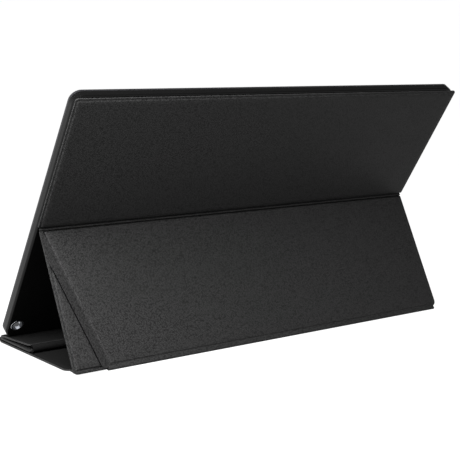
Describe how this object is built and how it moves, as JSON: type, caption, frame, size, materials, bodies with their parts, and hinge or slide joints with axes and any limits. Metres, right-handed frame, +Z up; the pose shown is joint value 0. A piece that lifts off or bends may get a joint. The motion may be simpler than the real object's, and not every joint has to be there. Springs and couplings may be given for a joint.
{
  "type": "portable monitor with cover",
  "caption": "Slim portable screen standing on a folded leather cover: a hinged prop with a fold-out corner at the back, a floor panel and folding flaps beneath it.",
  "frame": {"origin": "on the table, under the middle of the cover's floor panel", "axes": "+X along the screen's width towards the pen hole, +Y from the screen's side to the back, +Z up"},
  "size_m": [0.36, 0.1481, 0.1966],
  "materials": {
    "shell_metal": "anodised dark grey, satin",
    "bezel_plastic": "moulded black, fine matt",
    "screen_glass": "black screen behind matt glass",
    "film": "white optical film",
    "guide_acrylic": "clear acrylic",
    "lamp_strip": "lamps on a white strip",
    "tray_metal": "plain sheet",
    "steel": "plain sheet steel",
    "circuit_board": "solder mask",
    "ribbon_film": "polyimide film",
    "socket_metal": "drawn steel shell",
    "button_plastic": "moulded black, satin",
    "switch_plastic": "moulded black",
    "lens_plastic": "milky clear",
    "ring_chrome": "polished",
    "cover_leather": "embossed dark grey, fine grain",
    "cover_lining": "black microfibre",
    "cover_board": "grey pressed board",
    "magnet_nickel": "nickel plated",
    "screw_steel": "blackened steel"
  },
  "bodies": {
    "floor_panel": {"floor_skin": "cover_leather", "floor_board": "cover_board", "floor_lining": "cover_lining", "spine_fold": "cover_leather", "front_fold": "cover_leather"},
    "spine": {"spine_skin": "cover_leather", "spine_board": "cover_board", "spine_lining": "cover_lining", "bottom_fold": "cover_leather"},
    "prop": {"prop_skin": "cover_leather", "prop_board": "cover_board", "prop_lining": "cover_lining", "corner_fold": "cover_leather"},
    "prop_corner": {"corner_skin": "cover_leather", "corner_board": "cover_board", "corner_lining": "cover_lining"},
    "monitor": {"rear_shell": "shell_metal", "front_bezel": "bezel_plastic", "lcd_cell": "screen_glass", "optical_sheets": "film", "light_guide": "guide_acrylic", "led_strip": "lamp_strip", "panel_tray": "tray_metal", "steel_plate": "steel", "main_board": "circuit_board", "power_board": "circuit_board", "board_screws": "screw_steel", "board_shield": "steel", "panel_ribbon": "ribbon_film", "button_ribbon": "ribbon_film", "usb_c_port": "socket_metal", "power_switch": "switch_plastic", "menu_switch": "switch_plastic", "power_led_lens": "lens_plastic", "pen_sleeve": "ring_chrome", "pen_trim": "ring_chrome", "upper_skin": "cover_leather", "upper_board": "cover_board", "upper_lining": "cover_lining", "cover_magnets": "magnet_nickel", "mid_fold": "cover_leather"},
    "lower_flap": {"lower_flap_skin": "cover_leather", "lower_flap_board": "cover_board", "lower_flap_lining": "cover_lining", "rear_fold": "cover_leather"},
    "upper_flap": {"upper_flap_skin": "cover_leather", "upper_flap_board": "cover_board", "upper_flap_lining": "cover_lining"},
    "power_button": {"power_button": "button_plastic"},
    "menu_button": {"menu_button": "button_plastic"}
  },
  "joints": [
    {"name": "base_unfold", "type": "hinge", "parent": "floor_panel", "child": "spine", "pos_m": [0, 0.0589, 0.0012], "axis": [-1, 0, 0], "range_deg": [0, 104], "deforming": ["spine_fold"]},
    {"name": "bottom_fold_hinge", "type": "hinge", "parent": "spine", "child": "prop", "pos_m": [0, 0.0697, 0.0012], "axis": [-1, 0, 0], "range_deg": [0, 115.95], "deforming": ["bottom_fold"]},
    {"name": "stand_fold", "type": "hinge", "parent": "prop", "child": "monitor", "pos_m": [0, 0.02262, 0.09795], "axis": [1, 0, 0], "range_deg": [0, 60.76], "deforming": ["mid_fold"]},
    {"name": "corner_crease", "type": "hinge", "parent": "prop", "child": "prop_corner", "pos_m": [0.1665, 0.04643, 0.04971], "axis": [0.2513, -0.4235, 0.8703], "range_deg": [0, 140], "deforming": ["corner_fold"]},
    {"name": "lower_flap_hinge", "type": "hinge", "parent": "floor_panel", "child": "lower_flap", "pos_m": [0, -0.0589, 0.00228], "axis": [1, 0, 0], "range_deg": [0, 178.01], "deforming": ["front_fold"]},
    {"name": "upper_flap_hinge", "type": "hinge", "parent": "lower_flap", "child": "upper_flap", "pos_m": [0, -0.0011, 0.0057], "axis": [-1, 0, 0], "range_deg": [0, 178.01], "deforming": ["rear_fold"]},
    {"name": "power_press", "type": "slide", "parent": "monitor", "child": "power_button", "axis": [0, 0.8211, -0.5707], "range_m": [0, 0.0004], "stiffness_N_per_m": 400, "springref_m": -0.0005},
    {"name": "menu_press", "type": "slide", "parent": "monitor", "child": "menu_button", "axis": [0, 0.8211, -0.5707], "range_m": [0, 0.0004], "stiffness_N_per_m": 400, "springref_m": -0.0005}
  ],
  "couplings": [
    {"joint": "stand_fold", "follows": "bottom_fold_hinge", "ratio": 0.52392},
    {"joint": "lower_flap_hinge", "follows": "base_unfold", "ratio": 1.7115},
    {"joint": "upper_flap_hinge", "follows": "base_unfold", "ratio": 1.7115}
  ]
}
